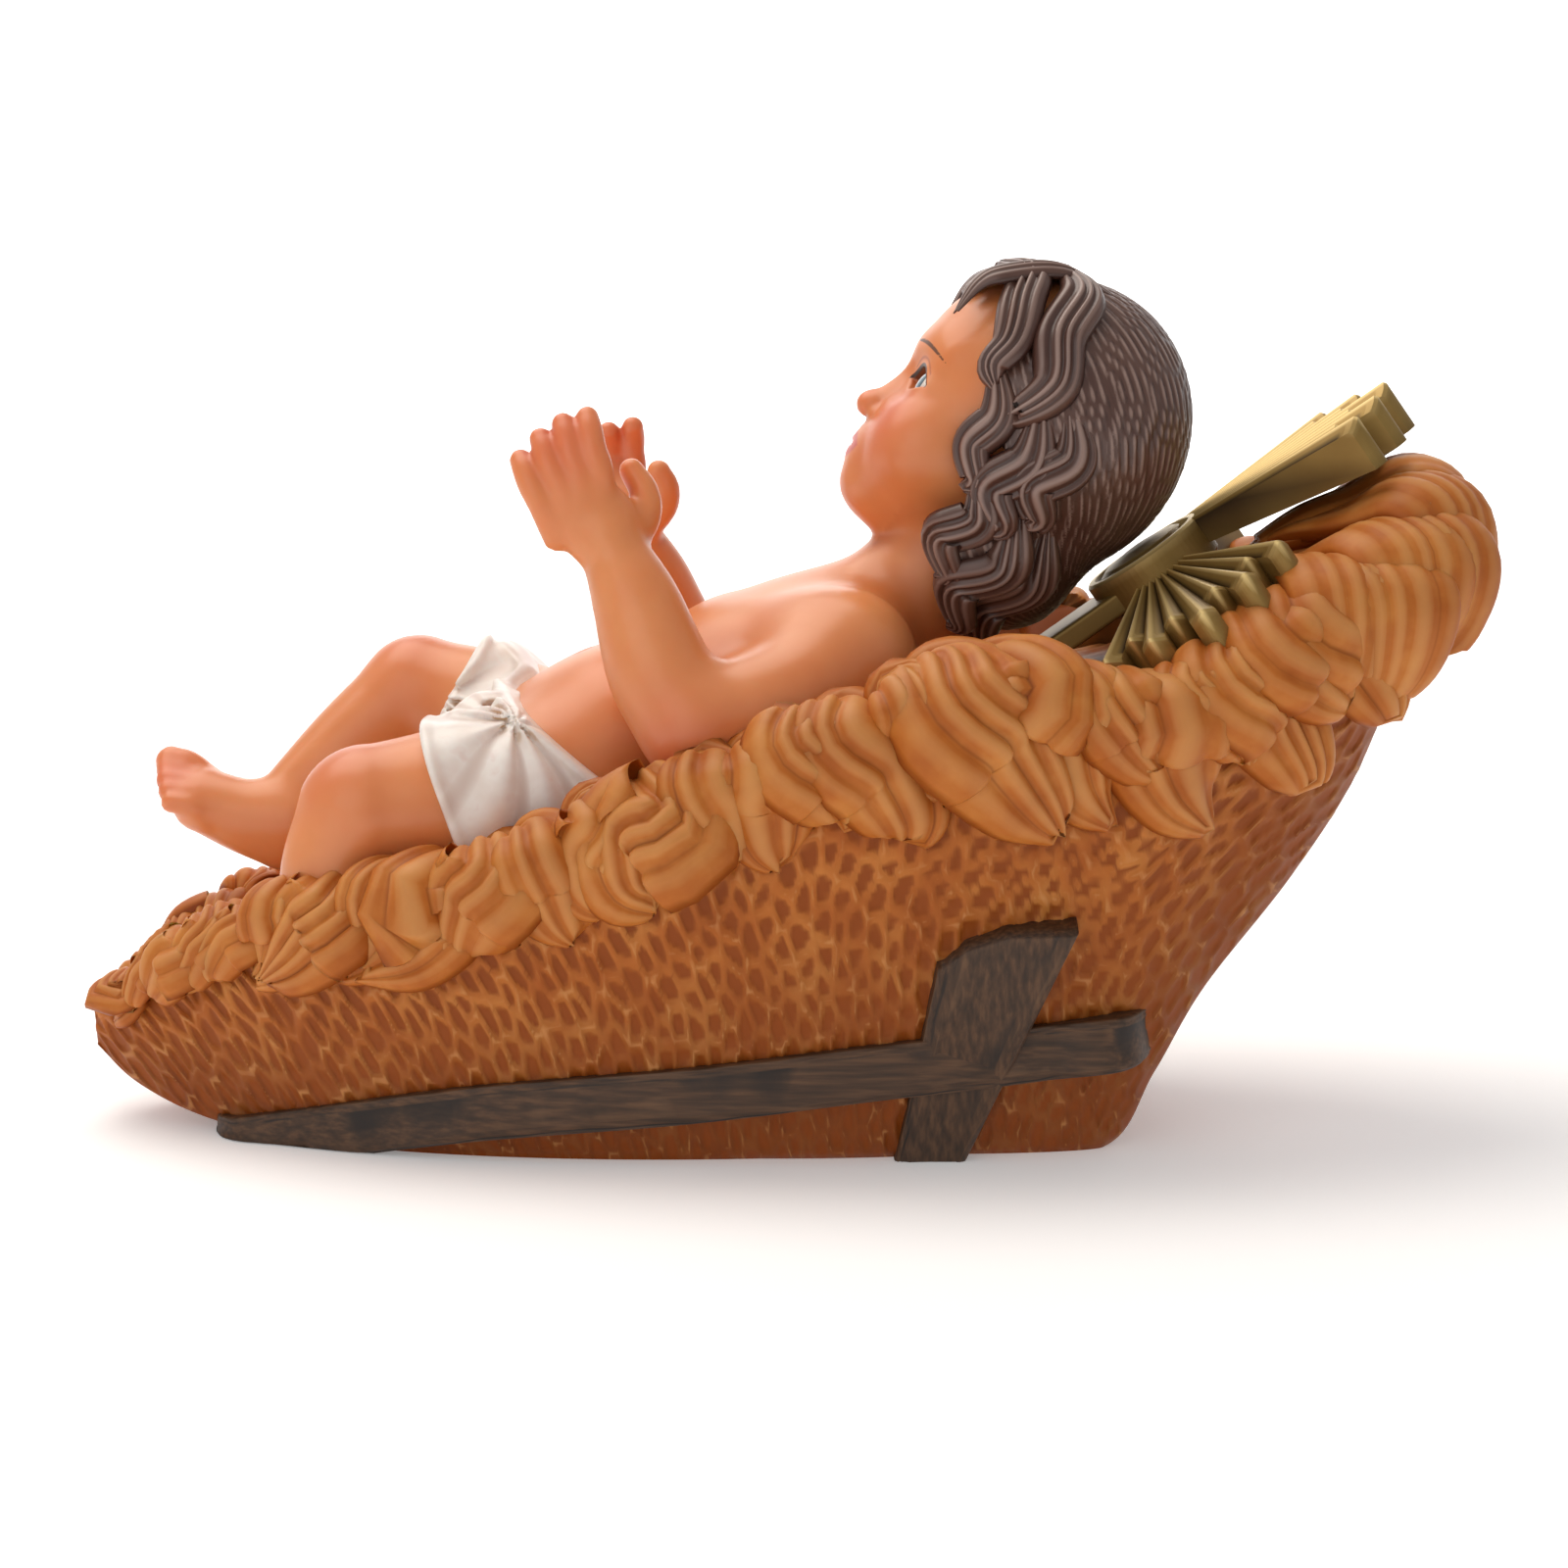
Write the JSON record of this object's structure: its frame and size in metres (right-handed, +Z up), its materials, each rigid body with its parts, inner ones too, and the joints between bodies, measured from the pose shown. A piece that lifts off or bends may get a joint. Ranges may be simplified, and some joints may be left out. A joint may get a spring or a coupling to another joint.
{
  "type": "baby jesus figurine",
  "caption": "Reclining infant with raised hands and a loincloth, lying in a straw cradle with a wooden band, and a cross-shaped rayed halo behind the head.",
  "frame": {"origin": "on the flat underside of the straw cradle, at the ground, on the figurine's middle plane and near the middle of its length", "axes": "+X to the head end, +Y to the infant's right, +Z up"},
  "size_m": [0.2338, 0.1148, 0.1433],
  "materials": {
    "infant": "satin painted cast resin",
    "straw_cradle": "satin painted cast resin",
    "halo": "antique gold paint on cast resin"
  },
  "bodies": {
    "root": {"infant": "infant", "straw_cradle": "straw_cradle", "halo": "halo"}
  },
  "joints": []
}
